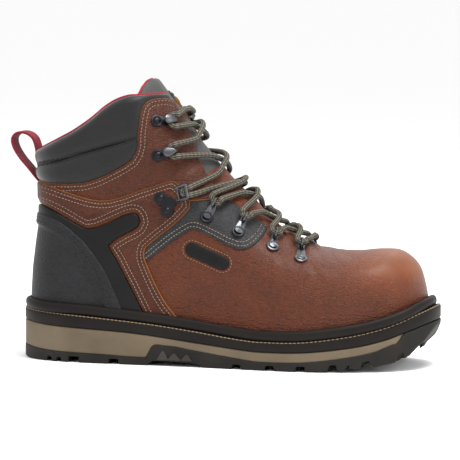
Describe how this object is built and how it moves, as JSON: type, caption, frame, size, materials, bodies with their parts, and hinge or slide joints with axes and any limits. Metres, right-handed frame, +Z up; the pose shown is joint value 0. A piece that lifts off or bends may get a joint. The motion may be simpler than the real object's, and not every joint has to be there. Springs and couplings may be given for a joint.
{
  "type": "work boot",
  "caption": "Right-foot lace-up leather work boot with padded collar, moulded heel anchor, metal lace hardware and a layered lugged sole.",
  "frame": {"origin": "on the floor, under the middle of the boot's box", "axes": "+X towards the toe, +Y towards the inner side of the right foot, +Z up"},
  "size_m": [0.321, 0.1108, 0.2082],
  "materials": {
    "outsole_rubber": "matt moulded rubber",
    "wedge_foam": "matt beige moulded foam",
    "welt_rubber": "matt dark brown rubber, smooth bead",
    "insole_board": "black fabric over board",
    "brown_leather": "pebbled full-grain leather, satin",
    "collar_leather": "smooth charcoal leather, satin",
    "anchor_tpu": "smooth black moulded plastic",
    "tongue_leather": "soft brown leather",
    "red_webbing": "woven red webbing",
    "lace_braid": "grey flecked braid",
    "gunmetal": "dark plated steel, satin"
  },
  "bodies": {
    "root": {"outsole": "outsole_rubber", "midsole": "wedge_foam", "welt": "welt_rubber", "insole": "insole_board", "upper": "brown_leather", "collar_padding": "collar_leather", "heel_anchor": "anchor_tpu", "tongue": "tongue_leather", "pull_loop": "red_webbing", "lace": "lace_braid", "hook_1_outer": "gunmetal", "hook_2_outer": "gunmetal", "lock_hook_outer": "gunmetal", "eyelet_1_outer": "gunmetal", "eyelet_2_outer": "gunmetal", "eyelet_3_outer": "gunmetal", "eyelet_4_outer": "gunmetal", "hook_1_inner": "gunmetal", "hook_2_inner": "gunmetal", "lock_hook_inner": "gunmetal", "eyelet_1_inner": "gunmetal", "eyelet_2_inner": "gunmetal", "eyelet_3_inner": "gunmetal", "eyelet_4_inner": "gunmetal"}
  },
  "joints": []
}
